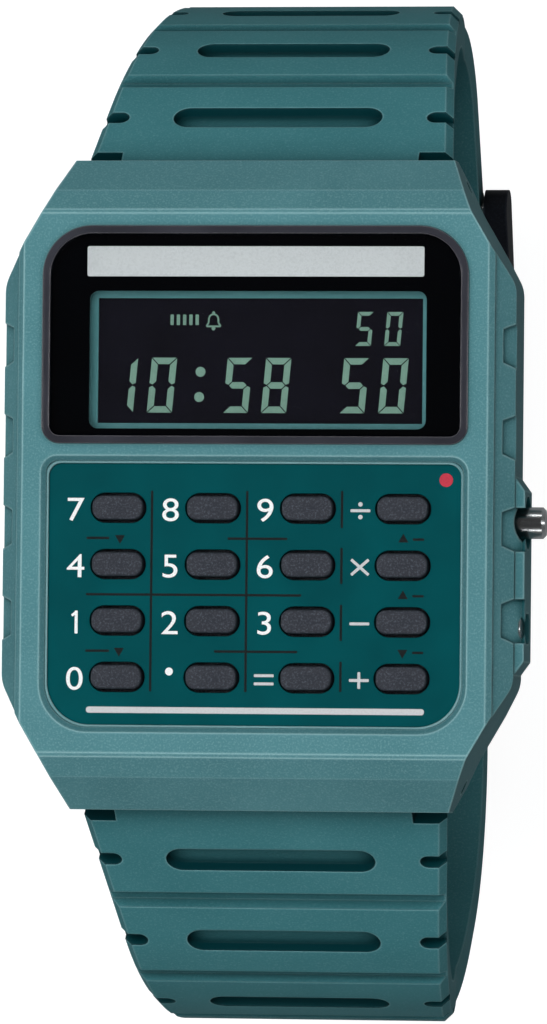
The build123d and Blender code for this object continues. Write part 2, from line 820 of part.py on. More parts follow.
tail_way = Vector(cos(radians(tail_slope)), sin(radians(tail_slope)))
tail_out = Vector(tail_way.Y, -tail_way.X)
tail_offset = pin_knuckle_radius + tail_clearance + tail_thickness / 2
tail_point = pin_point + tail_out * tail_offset - tail_way * tail_lead
slope_turn = strap_heading + lower_turn + 180
rise_runs = [(rise_radius, -rise_slope), (rise_radius, rise_slope - tail_slope)]
rise_end, _ = run_end(Vector(0, 0), -180, rise_runs)
first_runs = [(0, lower_straight), (lower_bend_radius, lower_turn)]
bend_end, slope_heading = run_end(Vector(0, 0), strap_heading, first_runs)
foot_end, _ = run_end(Vector(0, 0), slope_heading, [(bottom_bend_radius, -slope_turn)])
bottom_middle = tail_point.Y - rise_end.Y
slope_fall = bar_level + bend_end.Y + foot_end.Y - bottom_middle
slope_length = slope_fall / sin(radians(slope_turn))
flat_start = bar_half_span + bend_end.X + foot_end.X - slope_length * cos(radians(slope_turn))
flat_length = flat_start + tail_point.X + rise_end.X
lower_runs = [
    (0, lower_straight),
    (lower_bend_radius, lower_turn),
    (0, slope_length),
    (bottom_bend_radius, -slope_turn),
    (0, flat_length),
] + rise_runs

upper_side = Plane((0, 0, 0), x_dir=(0, 1, 0), z_dir=(1, 0, 0))
lower_side = Plane((0, 0, 0), x_dir=(0, -1, 0), z_dir=(-1, 0, 0))


def along(runs, distance):
    """Return the point and the heading at a distance along a strap's middle line."""
    at, heading = bar_point, strap_heading
    for radius, amount in runs:
        length = amount if radius == 0 else radius * radians(abs(amount))
        share = min(1, distance / length)
        at, heading = run_end(at, heading, [(radius, amount * share)])
        distance -= length * share
        if share < 1:
            break
    return at, heading


def surface_plane(side, runs, distance):
    """Place a plane on the outer face of a strap, with X across it."""
    at, heading = along(runs, distance)
    out = Vector(cos(radians(heading + 90)), sin(radians(heading + 90)))
    origin = side.from_local_coords(at + out * (strap_thickness / 2))
    return Plane(origin, x_dir=(1, 0, 0), z_dir=side.from_local_coords(out) - side.origin)


taper_points = [
    (taper_top, strap_shoulder_width),
    (taper_middle, strap_shoulder_width - taper_share * (strap_shoulder_width - strap_end_width)),
    (taper_foot, strap_end_width),
]


def strap_width(level):
    """Return the strap's width at a level: it tapers fast at first and then slowly."""
    for (top, wide), (foot, narrow) in zip(taper_points, taper_points[1:]):
        if level > foot:
            return wide + (narrow - wide) * max(0, (top - level) / (top - foot))
    return strap_end_width


def strap_half(side, runs, pockets, grooves):
    """Mould one half of the strap: a tapered band with a tongue, bevels, pockets and grooves."""
    with BuildPart() as half:
        with BuildSketch(side):
            with BuildLine():
                band_outline(bar_point, strap_heading, runs, strap_thickness)
            make_face()
        extrude(amount=strap_shoulder_width / 2, both=True)
        # Taper in width
        for hand in (1, -1):
            with BuildSketch(Plane.XZ):
                edge_points = [(hand * width / 2, level) for level, width in taper_points]
                below = 2 * pin_z
                outline(edge_points + [
                    (hand * strap_end_width / 2, below),
                    (hand * (strap_shoulder_width / 2 + overrun), below),
                    (hand * (strap_shoulder_width / 2 + overrun), taper_top),
                ])
            extrude(amount=case_length, both=True, mode=Mode.SUBTRACT)
        # Bevels along both edges of the outer face
        with BuildLine(mode=Mode.PRIVATE) as outer:
            band_side(bar_point, strap_heading, runs, strap_thickness / 2)
        outer_wire = side.from_local_coords(outer.wires()[0])
        bevelled = half.edges().filter_by(
            lambda edge: abs((edge @ 0.5).X) > strap_end_width / 2 - edge_touch
            and outer_wire.distance_to(Vector(0, (edge @ 0.5).Y, (edge @ 0.5).Z)) < edge_touch
        )
        chamfer(bevelled, strap_edge)
        # Narrow tongue and round end between the lugs
        bar_side = Plane(
            side.from_local_coords(bar_point),
            x_dir=side.from_local_coords(first_way) - side.origin,
            z_dir=side.z_dir,
        )
        for hand in (1, -1):
            with BuildSketch(bar_side.offset(hand * strap_tongue_width / 2)):
                with Locations(((shoulder_gap - 2 * knuckle_radius) / 2, 0)):
                    Rectangle(shoulder_gap + 2 * knuckle_radius, 4 * knuckle_radius)
            extrude(amount=hand * strap_shoulder_width / 2, mode=Mode.SUBTRACT)
        with BuildSketch(bar_side):
            Circle(knuckle_radius)
        extrude(amount=strap_tongue_width / 2, both=True)
        with BuildSketch(bar_side):
            Circle(bar_radius + strap_bore_clearance)
        extrude(amount=strap_tongue_width, both=True, mode=Mode.SUBTRACT)
        # Blind pockets with a dimple at each end, and grooves between them
        for distance in pockets:
            width = strap_width(along(runs, distance)[0].Y)
            with BuildSketch(surface_plane(side, runs, distance)):
                SlotOverall(slot_length_share * width, slot_breadth)
            extrude(amount=-slot_pocket, mode=Mode.SUBTRACT)
            with BuildSketch(surface_plane(side, runs, distance)):
                with GridLocations(width, 0, 2, 1):
                    SlotOverall(2 * dimple_reach, 2 * dimple_radius)
            extrude(amount=-dimple_depth, mode=Mode.SUBTRACT)
        for distance in grooves:
            _, heading = along(runs, distance)
            way = Vector(cos(radians(heading)), sin(radians(heading)))
            face = surface_plane(side, runs, distance)
            run_way = side.from_local_coords(way) - side.origin
            cross = Plane(face.origin, x_dir=run_way, z_dir=side.z_dir)
            with BuildSketch(cross):
                outline([
                    (-groove_width / 2 - groove_depth, groove_depth),
                    (-groove_width / 2 + groove_depth, -groove_depth),
                    (groove_width / 2 - groove_depth, -groove_depth),
                    (groove_width / 2 + groove_depth, groove_depth),
                ])
            extrude(amount=strap_shoulder_width, both=True, mode=Mode.SUBTRACT)
    return half.part


pocket_places = [slot_first + 2 * i * strap_pitch for i in range(ridge_count)]
groove_places = [place + strap_pitch for place in pocket_places]

# Upper half of the strap, with a round end on the buckle's pin
upper_blank = strap_half(upper_side, upper_runs, pocket_places, groove_places[:-1])
pin_side = Plane(
    upper_side.from_local_coords(pin_point),
    x_dir=upper_side.from_local_coords(last_way),
    z_dir=(1, 0, 0),
)
with BuildPart() as upper_strap:
    add(upper_blank)
    with BuildSketch(pin_side):
        Circle(pin_knuckle_radius)
    extrude(amount=strap_end_width / 2, both=True)
    with BuildSketch(pin_side):
        Circle(pin_radius + pin_clearance)
    extrude(amount=strap_end_width, both=True, mode=Mode.SUBTRACT)
    with BuildSketch(pin_side):
        with Locations((pin_knuckle_radius - tongue_slot_reach / 2, 0)):
            Rectangle(tongue_slot_reach + 2 * pin_knuckle_radius, 4 * pin_knuckle_radius)
    extrude(amount=tongue_slot_width / 2, both=True, mode=Mode.SUBTRACT)
save(upper_strap.part, "upper_strap")

# Lower half of the strap up to the buckle, with the first of its holes
lower_blank = strap_half(lower_side, lower_runs, pocket_places, groove_places)
tail_side = Plane(
    upper_side.from_local_coords(tail_point),
    x_dir=upper_side.from_local_coords(tail_way),
    z_dir=(1, 0, 0),
)
tail_face = Plane(tail_side.origin, x_dir=(1, 0, 0), z_dir=-tail_side.y_dir)
tongue_level = tail_offset + tail_thickness / 2 + buckle_bar_gap + tongue_thickness / 2
tail_hole = tail_lead - tongue_drop * tail_offset / tongue_level
lower_length = sum(a if r == 0 else r * radians(abs(a)) for r, a in lower_runs)
with BuildPart() as lower_strap:
    add(lower_blank)
    ends = lower_strap.faces().sort_by_distance(tail_side.origin)[0].edges()
    chamfer(ends.filter_by(Axis.X), (strap_thickness - tail_thickness) / 2)
    for i in range(hole_count):
        place = lower_length + tail_hole - (hole_count + i) * hole_pitch
        with BuildSketch(surface_plane(lower_side, lower_runs, place)):
            SlotOverall(hole_length, hole_width, rotation=90)
        extrude(amount=-(strap_thickness + overrun), mode=Mode.SUBTRACT)
save(lower_strap.part, "lower_strap")

# Free end of the lower half, which passes through the buckle
with BuildPart() as strap_tail:
    with BuildSketch(tail_side):
        with Locations((tail_length / 2, 0)):
            Rectangle(tail_length, tail_thickness)
    extrude(amount=strap_end_width / 2, both=True)
    tip = strap_tail.faces().sort_by_distance(tail_side.origin)[-1].edges()
    fillet(tip.filter_by(Axis(tail_side.origin, tail_side.y_dir)), tail_corner)
    with BuildSketch(tail_face):
        with Locations(*[(0, i * hole_pitch - tail_hole) for i in range(hole_count)]):
            SlotOverall(hole_length, hole_width, rotation=90)
    extrude(amount=strap_thickness, both=True, mode=Mode.SUBTRACT)
save(strap_tail.part, "strap_tail")

# Buckle: two arms and a round outer bar moulded as one, its pin and its steel tongue
bar_offset = pin_knuckle_radius + tail_clearance + tail_thickness + buckle_bar_gap + buckle_bar_radius
buckle_bar = pin_point + tail_out * bar_offset - tail_way * buckle_reach
buckle_way = buckle_bar - pin_point
buckle_length = buckle_way.length
buckle_side = Plane(
    upper_side.from_local_coords(pin_point),
    x_dir=upper_side.from_local_coords(buckle_way * (1 / buckle_length)),
    z_dir=(1, 0, 0),
)
buckle_top = Plane(buckle_side.origin, x_dir=(1, 0, 0), z_dir=buckle_side.y_dir)
tongue_side = Plane(
    buckle_side.origin,
    x_dir=upper_side.from_local_coords(tail_way) * -1,
    z_dir=(1, 0, 0),
)
tongue_route = [
    (0, 0),
    (tongue_drop, tongue_level),
    (
        buckle_reach + buckle_bar_radius + tongue_over,
        bar_offset + buckle_bar_radius - tongue_thickness / 2 - tongue_sink,
    ),
]
with BuildPart() as buckle_frame:
    with BuildSketch(buckle_side):
        Circle(buckle_arm_radius)
        with Locations((buckle_length, 0)):
            Circle(buckle_bar_radius)
        make_hull()
    extrude(amount=buckle_width / 2, both=True)
    inner = strap_end_width / 2 + buckle_side_clearance
    with BuildSketch(buckle_top):
        with Locations((0, buckle_length / 2)):
            Rectangle(2 * inner, buckle_length + 2 * (buckle_arm_radius + overrun))
    extrude(amount=2 * buckle_arm_radius, both=True, mode=Mode.SUBTRACT)
    with BuildSketch(buckle_side):
        with Locations((buckle_length, 0)):
            Circle(buckle_bar_radius)
    extrude(amount=buckle_width / 2, both=True)
    with BuildSketch(buckle_side):
        Circle(pin_radius + pin_clearance)
    extrude(amount=buckle_width / 2 - pin_radius, both=True, mode=Mode.SUBTRACT)
    with BuildSketch(tongue_side):
        notch_floor = tongue_route[-1][1] - tongue_thickness / 2 - tongue_notch_room
        with Locations((buckle_reach, notch_floor + buckle_bar_radius)):
            Rectangle(4 * buckle_bar_radius, 2 * buckle_bar_radius)
    extrude(amount=tongue_width / 2 + tongue_notch_room, both=True, mode=Mode.SUBTRACT)
save(buckle_frame.part, "buckle_frame")

with BuildPart() as buckle_pin:
    with BuildSketch(buckle_side):
        Circle(pin_radius)
    extrude(amount=buckle_width / 2 - pin_radius - pin_clearance, both=True)
save(buckle_pin.part, "buckle_pin")

with BuildPart() as buckle_tongue:
    with BuildSketch(tongue_side):
        with BuildLine():
            FilletPolyline(*tongue_route, radius=tongue_bend)
        trace(line_width=tongue_thickness)
        Circle(tongue_eye_radius)
        Circle(pin_radius + pin_clearance, mode=Mode.SUBTRACT)
    extrude(amount=tongue_width / 2, both=True)
save(buckle_tongue.part, "buckle_tongue")
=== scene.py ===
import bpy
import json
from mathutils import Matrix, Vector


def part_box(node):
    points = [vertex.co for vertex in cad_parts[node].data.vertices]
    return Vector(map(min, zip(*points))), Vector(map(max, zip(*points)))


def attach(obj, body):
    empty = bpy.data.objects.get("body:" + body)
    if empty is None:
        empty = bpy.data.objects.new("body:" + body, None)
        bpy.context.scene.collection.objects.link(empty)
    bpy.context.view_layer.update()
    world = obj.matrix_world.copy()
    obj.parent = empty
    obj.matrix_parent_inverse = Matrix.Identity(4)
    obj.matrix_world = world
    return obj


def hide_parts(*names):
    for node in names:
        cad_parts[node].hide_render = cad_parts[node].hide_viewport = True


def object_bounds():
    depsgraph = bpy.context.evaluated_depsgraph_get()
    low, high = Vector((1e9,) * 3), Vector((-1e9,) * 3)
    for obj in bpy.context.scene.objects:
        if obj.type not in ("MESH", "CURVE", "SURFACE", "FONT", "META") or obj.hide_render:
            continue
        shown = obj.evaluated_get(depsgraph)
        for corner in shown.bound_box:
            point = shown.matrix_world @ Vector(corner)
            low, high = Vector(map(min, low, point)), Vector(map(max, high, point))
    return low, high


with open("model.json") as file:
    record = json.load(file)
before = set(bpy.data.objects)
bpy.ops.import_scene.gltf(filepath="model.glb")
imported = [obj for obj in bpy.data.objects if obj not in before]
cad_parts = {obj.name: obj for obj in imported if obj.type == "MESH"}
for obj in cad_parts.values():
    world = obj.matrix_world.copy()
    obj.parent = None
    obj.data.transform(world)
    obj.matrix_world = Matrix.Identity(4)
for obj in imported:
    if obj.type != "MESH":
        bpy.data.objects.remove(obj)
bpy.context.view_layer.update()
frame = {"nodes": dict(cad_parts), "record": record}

import bpy
import json
from math import cos, pi, radians, sin
from mathutils import Matrix, Vector

nodes = frame["nodes"]
MM = 0.001


# Colours and shader nodes

def linear(hex_colour):
    """An sRGB hex colour as the linear numbers that a shader takes."""
    channels = [int(hex_colour[i:i + 2], 16) / 255 for i in (1, 3, 5)]
    return [c / 12.92 if c <= 0.04045 else ((c + 0.055) / 1.055) ** 2.4 for c in channels] + [1.0]


def add(tree, kind, links=None, **settings):
    """Adds one shader node with its settings and what its inputs hold or are linked to."""
    node = tree.nodes.new("ShaderNode" + kind)
    for name, value in settings.items():
        setattr(node, name, value)
    for socket, value in (links or {}).items():
        if isinstance(value, bpy.types.NodeSocket):
            tree.links.new(value, node.inputs[socket])
        else:
            node.inputs[socket].default_value = value
    return node


def new_finish(name):
    """An empty material, its node tree and its pattern coordinates in millimetres."""
    material = bpy.data.materials.new(name)
    material.use_nodes = True
    tree = material.node_tree
    tree.nodes.clear()
    place = add(tree, "TexCoord").outputs["Object"]
    in_mm = add(tree, "VectorMath", {0: place, "Scale": 1 / MM}, operation="SCALE").outputs[0]
    return material, tree, in_mm


def drifting_tone(tree, mm, scale, dark, light):
    """A colour that drifts between two near ones in soft clouds, each 1 / scale millimetres wide."""
    cloud = add(tree, "TexNoise", {"Vector": mm, "Scale": scale, "Detail": 2.0}).outputs["Fac"]
    drift = add(tree, "MapRange", {"Value": cloud, "From Min": 0.3, "From Max": 0.7})
    tone = add(tree, "Mix", {"Factor": drift.outputs[0], "A": linear(dark), "B": linear(light)},
               data_type="RGBA")
    return tone.outputs["Result"]


def painted_edge_highlight(tree, tone, edge, corner, flattest, keenest, most):
    """A painted highlight: the tone, turning into the paler edge colour where the rounded corner's normal
    leans away from the face's: not at all up to the cosine flattest, and by the share most from the cosine
    keenest on."""
    face = add(tree, "NewGeometry").outputs["Normal"]
    facing = add(tree, "VectorMath", {0: corner, 1: face}, operation="DOT_PRODUCT").outputs["Value"]
    highlight_share = add(tree, "MapRange", {"Value": facing, "From Min": flattest, "From Max": keenest, "To Max": most})
    edge_highlighted = add(tree, "Mix", {"Factor": highlight_share.outputs[0], "A": tone, "B": linear(edge)}, data_type="RGBA")
    return edge_highlighted.outputs["Result"]


def moulded_resin(name, dark, light, edge, shade, grain, depth, rough, fold=3.0, keen=0.96):
    """A resin moulded in a spark-eroded steel tool: cloudy tone and even fine grain, with a painted highlight
    that makes edges a little paler, and painted shade that deepens the tone in slots and grooves. The grain
    is drawn grain wide and depth deep, in millimetres. The real one, about 0.05 wide, is too fine for the
    render. A higher fold spreads the painted shade colour further out of a recess, and a keen nearer to 1
    makes the painted highlight on edges paler."""
    material, tree, mm = new_finish(name)
    rounded = add(tree, "Bevel", {"Radius": 0.2 * MM}, samples=4).outputs[0]
    pits = add(tree, "TexNoise", {"Vector": mm, "Scale": 1 / grain, "Detail": 3.0, "Roughness": 0.6})
    pits = pits.outputs["Fac"]
    tips = add(tree, "MapRange", {"Value": pits, "From Min": 0.5, "From Max": 0.75, "To Max": 0.28})
    body = drifting_tone(tree, mm, 0.16, dark, light)
    grained = add(tree, "Mix", {"Factor": tips.outputs[0], "A": body, "B": linear(edge)}, data_type="RGBA")
    # Painted highlight: edges turn toward the paler edge colour
    edge_highlighted = painted_edge_highlight(tree, grained.outputs["Result"], edge, rounded, 0.9985, keen, 0.8)
    # Painted shade: ambient occlusion darkens the colour toward the shade colour in slots, grooves and where
    # parts lie close
    open_sky = add(tree, "AmbientOcclusion", {"Distance": 4.0 * MM}, samples=6).outputs["AO"]
    openness = add(tree, "Math", {0: open_sky, 1: fold}, operation="POWER")
    in_open = add(tree, "MapRange", {"Value": openness.outputs[0], "From Max": 0.88})
    colour = add(tree, "Mix", {"Factor": in_open.outputs[0], "A": linear(shade), "B": edge_highlighted},
                 data_type="RGBA")
    bump = add(tree, "Bump", {"Height": pits, "Strength": 0.6, "Distance": depth * MM, "Normal": rounded})
    sheen = add(tree, "MapRange", {"Value": pits, "To Min": rough - 0.07, "To Max": rough + 0.07})
    shader = add(tree, "BsdfPrincipled", {
        "Base Color": colour.outputs["Result"], "IOR": 1.5, "Specular IOR Level": 0.1,
        "Roughness": sheen.outputs[0], "Normal": bump.outputs["Normal"]})
    add(tree, "OutputMaterial", {"Surface": shader.outputs[0]})
    return material


def smooth_plastic(name, dark, light, rough, coat=0.0, gloss=0.5, speck=0.5, depth=0.002,
                   rounding=0.08, edge=None):
    """A smooth moulded or printed plastic: a faint drift of tone, a gloss that isn't quite even, in specks of
    the width speck, and where an edge colour is given, a painted highlight: a paler line along its corners."""
    material, tree, mm = new_finish(name)
    tone = drifting_tone(tree, mm, 0.22, dark, light)
    # Painted highlight: a paler edge colour along the corners
    if edge:
        corner = add(tree, "Bevel", {"Radius": 0.07 * MM}, samples=4).outputs[0]
        tone = painted_edge_highlight(tree, tone, edge, corner, 0.998, 0.9, 1.0)
    fine = add(tree, "TexNoise", {"Vector": mm, "Scale": 1 / speck, "Detail": 3.0}).outputs["Fac"]
    rounded = add(tree, "Bevel", {"Radius": rounding * MM}, samples=4).outputs[0]
    bump = add(tree, "Bump", {"Height": fine, "Strength": 0.3, "Distance": depth * MM, "Normal": rounded})
    sheen = add(tree, "MapRange", {"Value": fine, "To Min": rough * 0.8, "To Max": rough * 1.2})
    shader = add(tree, "BsdfPrincipled", {
        "Base Color": tone, "IOR": 1.5, "Coat Weight": coat, "Coat Roughness": 0.06,
        "Specular IOR Level": gloss, "Roughness": sheen.outputs[0], "Normal": bump.outputs["Normal"]})
    add(tree, "OutputMaterial", {"Surface": shader.outputs[0]})
    return material


def rubbery_speckle(name, base, fleck, grain, rough):
    """A dark rubber with paler flecks of filler in its skin. The real flecks are under 0.05 mm, too fine for
    the render, so they are drawn grain millimetres wide."""
    material, tree, mm = new_finish(name)
    flecks = add(tree, "TexNoise", {"Vector": mm, "Scale": 1 / grain, "Detail": 4.0, "Roughness": 0.75})
    flecks = flecks.outputs["Fac"]
    spread = add(tree, "TexNoise", {"Vector": mm, "Scale": 0.7, "Detail": 2.0}).outputs["Fac"]
    rounded = add(tree, "Bevel", {"Radius": 0.08 * MM}, samples=4).outputs[0]
    bump = add(tree, "Bump", {"Height": flecks, "Strength": 0.7, "Distance": 0.014 * MM, "Normal": rounded})
    shown = add(tree, "MapRange", {"Value": flecks, "From Min": 0.5, "From Max": 0.68})
    tone = add(tree, "Mix", {"Factor": shown.outputs[0], "A": linear(base), "B": linear(fleck)},
               data_type="RGBA")
    sheen = add(tree, "MapRange", {"Value": spread, "To Min": rough - 0.06, "To Max": rough + 0.08})
    shader = add(tree, "BsdfPrincipled", {
        "Base Color": tone.outputs["Result"], "IOR": 1.42, "Roughness": sheen.outputs[0],
        "Normal": bump.outputs["Normal"]})
    add(tree, "OutputMaterial", {"Surface": shader.outputs[0]})
    return material


def worked_metal(name, dark, light, rough, stretch=(1.0, 1.0, 1.0), line=0.1, depth=0.002):
    """A metal with the marks of its making: an even frost, or lines along the axis that stretch shrinks. Real
    marks are about 0.05 mm apart, too fine for the render, so they are drawn line millimetres apart."""
    material, tree, mm = new_finish(name)
    drawn = add(tree, "Mapping", {"Vector": mm, "Scale": stretch}).outputs[0]
    lines = add(tree, "TexNoise", {"Vector": drawn, "Scale": 1 / line, "Detail": 3.0}).outputs["Fac"]
    rounded = add(tree, "Bevel", {"Radius": 0.06 * MM}, samples=4).outputs[0]
    bump = add(tree, "Bump", {"Height": lines, "Strength": 0.5, "Distance": depth * MM, "Normal": rounded})
    sheen = add(tree, "MapRange", {"Value": lines, "To Min": rough * 0.75, "To Max": rough * 1.25})
    shader = add(tree, "BsdfPrincipled", {
        "Base Color": drifting_tone(tree, mm, 0.4, dark, light), "Metallic": 1.0,
        "Roughness": sheen.outputs[0], "Normal": bump.outputs["Normal"]})
    add(tree, "OutputMaterial", {"Surface": shader.outputs[0]})
    return material


def printed_ink(name, colour, thin, rough=0.4):
    """Screen-printed ink: flat colour, a shade thinner in places, with the slight texture of the mesh. Its
    threads are about 0.05 mm apart, and are drawn 0.12 mm apart so that they show."""
    material, tree, mm = new_finish(name)
    mesh = add(tree, "TexNoise", {"Vector": mm, "Scale": 1 / 0.12, "Detail": 3.0}).outputs["Fac"]
    bump = add(tree, "Bump", {"Height": mesh, "Strength": 0.4, "Distance": 0.004 * MM})
    cover = add(tree, "MapRange", {"Value": mesh, "From Min": 0.3, "From Max": 0.55})
    tone = add(tree, "Mix", {"Factor": cover.outputs[0], "A": linear(thin), "B": linear(colour)},
               data_type="RGBA")
    sheen = add(tree, "MapRange", {"Value": mesh, "To Min": rough - 0.08, "To Max": rough + 0.08})
    shader = add(tree, "BsdfPrincipled", {
        "Base Color": tone.outputs["Result"], "Roughness": sheen.outputs[0],
        "Normal": bump.outputs["Normal"]})
    add(tree, "OutputMaterial", {"Surface": shader.outputs[0]})
    return material


def clear_mineral_glass():
    """Flat mineral glass: clear, polished, with light hand smears. Lamps shine through it unshaded."""
    material, tree, mm = new_finish("mineral_glass_polished")
    smear = add(tree, "TexNoise", {"Vector": mm, "Scale": 0.25, "Detail": 4.0}).outputs["Fac"]
    sheen = add(tree, "MapRange", {"Value": smear, "To Max": 0.03})
    glass = add(tree, "BsdfPrincipled", {
        "Base Color": linear("#ffffff"), "Transmission Weight": 1.0, "IOR": 1.5,
        "Roughness": sheen.outputs[0]})
    clear = add(tree, "BsdfTransparent", {"Color": linear("#f4f8f8")})
    lamp = add(tree, "LightPath").outputs["Is Shadow Ray"]
    mixed = add(tree, "MixShader", {0: lamp, 1: glass.outputs[0], 2: clear.outputs[0]})
    add(tree, "OutputMaterial", {"Surface": mixed.outputs[0]})
    return material


def glass_fibre_board():
    """Epoxy and glass cloth, its threads 0.5 mm apart, under green solder mask, with copper tracks showing
    through it."""
    material, tree, mm = new_finish("glass_epoxy_green_mask")
    cloth = add(tree, "TexVoronoi", {"Vector": mm, "Scale": 2.0, "Randomness": 0.0}).outputs["Distance"]
    tracks = add(tree, "TexBrick", {"Vector": mm, "Color1": linear("#1e5a3a"), "Color2": linear("#256846"),
                                    "Mortar": linear("#174a2f"), "Scale": 0.5, "Mortar Size": 0.03})
    bump = add(tree, "Bump", {"Height": cloth, "Strength": 0.3, "Distance": 0.01 * MM})
    sheen = add(tree, "MapRange", {"Value": cloth, "To Min": 0.3, "To Max": 0.45})
    shader = add(tree, "BsdfPrincipled", {
        "Base Color": tracks.outputs["Color"], "IOR": 1.5, "Roughness": sheen.outputs[0],
        "Normal": bump.outputs["Normal"]})
    add(tree, "OutputMaterial", {"Surface": shader.outputs[0]})
    return material


# Finishes, by the record's material slot

along_x = (0.1, 1.0, 1.0)
along_y = (1.0, 0.02, 1.0)
round_x = (1.0, 0.2, 0.2)

finishes = {
    # Polyurethane-type resin, moulded with a fine matt grain: soft sheen, no sparkle. Its pale edge colour is
    # a painted highlight, and its dark teal a painted shade in slots, grooves and recesses
    "case_resin": moulded_resin("case_resin_moulded_teal", "#4c7e85", "#53868d", "#9cc4c8", "#10464b",
                                grain=0.13, depth=0.02, rough=0.55, keen=0.985),
    # Softer resin of the same colour, flexed and handled: a shade deeper and duller. Its pale edge colour is
    # a painted highlight, and its near-black teal a painted shade in its slots and grooves
    "strap_resin": moulded_resin("strap_resin_moulded_teal", "#3d7a81", "#438087", "#7fadb2", "#002c31",
                                 grain=0.14, depth=0.022, rough=0.6, fold=5.5),
    # Polished charcoal acrylic-type plastic: dark with clean highlights on its corners, from its gloss and
    # from a painted paler edge colour
    "window_rim": smooth_plastic("window_frame_gloss_charcoal", "#2b2c33", "#36373f", 0.16, coat=0.6,
                                 rounding=0.22, edge="#85838a"),
    # Mineral glass, ground flat and polished: a clear pane with a thin, hard gleam
    "window_glass": clear_mineral_glass(),
    # Gloss black print behind the glass: reads as a black void
    "mask_black": smooth_plastic("mask_print_black", "#010204", "#020306", 0.3, gloss=0.05),
    # Teal print on card: the thin frame round the display
    "display_surround": smooth_plastic("surround_print_teal", "#4a7f83", "#52878b", 0.4),
    # Negative liquid crystal cell: warm near-black with a slight silk from the polariser
    "display_cell": smooth_plastic("liquid_crystal_cell_negative", "#0d0c13", "#12111a", 0.3, gloss=0.05,
                                   speck=0.15),
    # Carbon-filled silicone: dead black, matt
    "contact_rubber": rubbery_speckle("carbon_silicone_black", "#101113", "#1b1c1f", 0.2, 0.7),
    # Polycarbonate sheet painted deep teal behind a satin face
    "keypad_panel": smooth_plastic("keypad_panel_satin_teal", "#004449", "#004c51", 0.42, gloss=0.06,
                                   speck=0.12, depth=0.004),
    # Hard silicone rubber, charcoal with pale flecks of filler
    "key_plastic": rubbery_speckle("key_rubber_speckled_charcoal", "#262a32", "#4d525c", 0.14, 0.55),
    # Compression-moulded silicone sheet: mid-grey, soft and dull
    "sheet_rubber": rubbery_speckle("keypad_sheet_silicone_grey", "#5d6266", "#70757a", 0.25, 0.65),
    # Laminate under solder mask: green, with the tracks a shade darker
    "board_laminate": glass_fibre_board(),
    # Black moulding epoxy: dull, with a faint silica sparkle
    "chip_resin": rubbery_speckle("chip_epoxy_black", "#131416", "#2a2b2e", 0.1, 0.5),
    # Drawn and plated can: smooth, bright, a little frosted
    "can_metal": worked_metal("can_nickel_plated", "#a9abad", "#bfc1c3", 0.22),
    # Glass-filled nylon: off-white with a dry skin
    "frame_plastic": smooth_plastic("module_frame_nylon_natural", "#c9c7bd", "#d5d3ca", 0.5, depth=0.006),
    # Pressed stainless steel with a fine frost
    "battery_steel": worked_metal("battery_can_stainless", "#b4b6b8", "#c8cacc", 0.3, line=0.15),
    # Cold-drawn spring steel: dull and bright, with fine lines along its length
    "spring_steel": worked_metal("spring_bar_steel_drawn", "#9b9d9f", "#b5b7b9", 0.28, (0.08, 1.0, 1.0)),
    # Rolled sheet brass, lacquer free: warm, with rolling lines along its strip
    "brass_sheet": worked_metal("contact_brass_rolled", "#b08d4a", "#c5a25c", 0.3, along_x),
    # Stainless cover brushed along the strap: long straight satin lines
    "cover_steel": worked_metal("cover_stainless_brushed", "#9ea1a3", "#b7babc", 0.32, along_y, 0.35, 0.004),
    # Turned stainless screws: small, bright and slightly frosted
    "screw_steel": worked_metal("screw_steel_turned", "#8f9294", "#a7aaac", 0.28, line=0.12),
    # Nitrile rubber seals: black, matt
    "seal_rubber": rubbery_speckle("seal_nitrile_black", "#17181a", "#222326", 0.2, 0.6),
    # Turned and polished stainless: bright bands softened by faint rings round its length
    "button_metal": worked_metal("pusher_stainless_turned", "#c6c9cb", "#d9dcde", 0.22, round_x, 0.08),
    # Glass-filled nylon, moulded black with a light grain. Its paler edge colour is a painted highlight, and
    # its near-black a painted shade in recesses
    "buckle_resin": moulded_resin("buckle_nylon_moulded_black", "#10131a", "#151922", "#343a44", "#030406",
                                  grain=0.16, depth=0.016, rough=0.45),
    # Drawn stainless wire of the buckle's pin and tongue: smooth, with lines along the pin
    "buckle_steel": worked_metal("buckle_pin_stainless", "#a5a8aa", "#bbbec0", 0.25, along_x),
}
# Silver ink with fine flake: an even satin grey that catches the light
silver_ink = printed_ink("silver_ink_printed", "#c4c8ca", "#babec0", 0.42)
# White epoxy ink: dense and clean, the brightest thing on the panel
white_ink = printed_ink("white_ink_printed", "#f1f4f4", "#dde3e4")
# Deep green-black ink for the lines: darker than the panel, and dull
line_ink = printed_ink("line_ink_printed_dark", "#01090b", "#010f12", 0.6)
# Warm red ink of the marker dot
red_ink = printed_ink("red_ink_printed", "#bd3044", "#ad283b")
# The clear state of a negative display: the grey-green reflector seen through it
lit_segment = printed_ink("display_segment_grey_green", "#749687", "#6b8d7e", 0.5)

for entry in frame["record"]["subparts"]:
    mesh = nodes[entry["node"]].data
    if not mesh.materials:
        mesh.materials.append(None)
    for slot in range(len(mesh.materials)):
        mesh.materials[slot] = finishes[entry["material_slot"]]


# Modelling helpers

def deselect():
    """Leaves edit mode and lets go of every piece."""
    if bpy.context.object and bpy.context.object.mode != "OBJECT":
        bpy.ops.object.mode_set(mode="OBJECT")
    bpy.ops.object.select_all(action="DESELECT")


